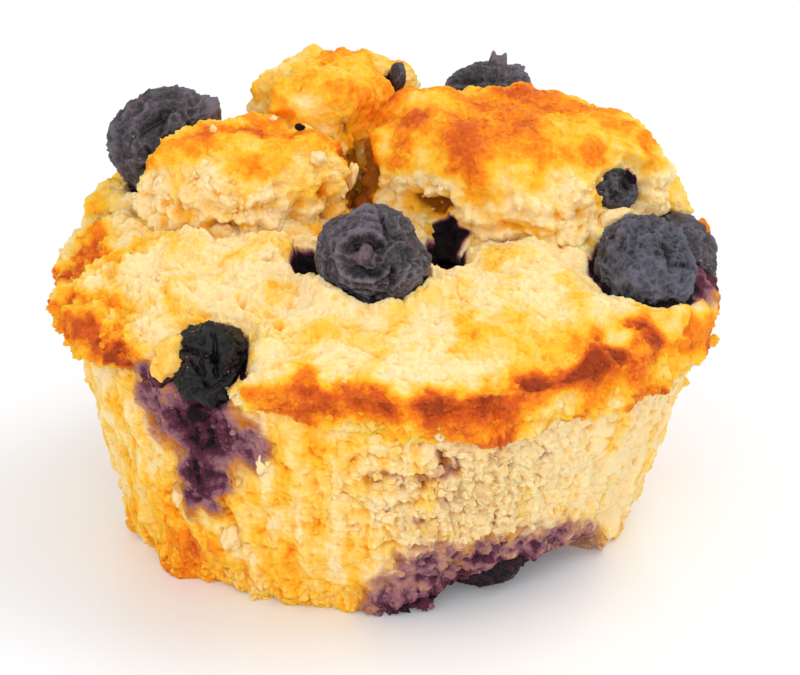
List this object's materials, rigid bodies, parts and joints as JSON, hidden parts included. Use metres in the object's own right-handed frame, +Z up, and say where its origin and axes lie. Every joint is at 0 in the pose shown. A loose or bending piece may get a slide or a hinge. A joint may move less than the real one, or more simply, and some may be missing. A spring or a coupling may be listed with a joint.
{
  "type": "blueberry muffin",
  "caption": "Blueberry muffin baked without a paper case: tapered cup with a browned lip, a split crown in risen plates, and baked berries in the crumb.",
  "frame": {"origin": "middle of the whole muffin's box, at the height of its flat base", "axes": "+Z up from the base to the crown; -Y is the front, with one berry in the middle of the crown's front slope; +X is to the right of the front"},
  "size_m": [0.0761, 0.0743, 0.0516],
  "materials": {
    "cake": "baked crumb, pale cream to golden, browned orange on the lip and the tops of the plates",
    "berry": "baked berry skin, dark violet with a dusty bloom, wrinkled and glossy in the folds"
  },
  "bodies": {
    "root": {"cake": "cake", "berry_centre": "berry", "berry_right": "berry", "berry_right_back": "berry", "berry_upper_left": "berry", "berry_top_back": "berry", "berry_in_right_plate": "berry", "berry_in_back_lump": "berry", "berry_left_side": "berry", "berry_bottom": "berry"}
  },
  "joints": []
}
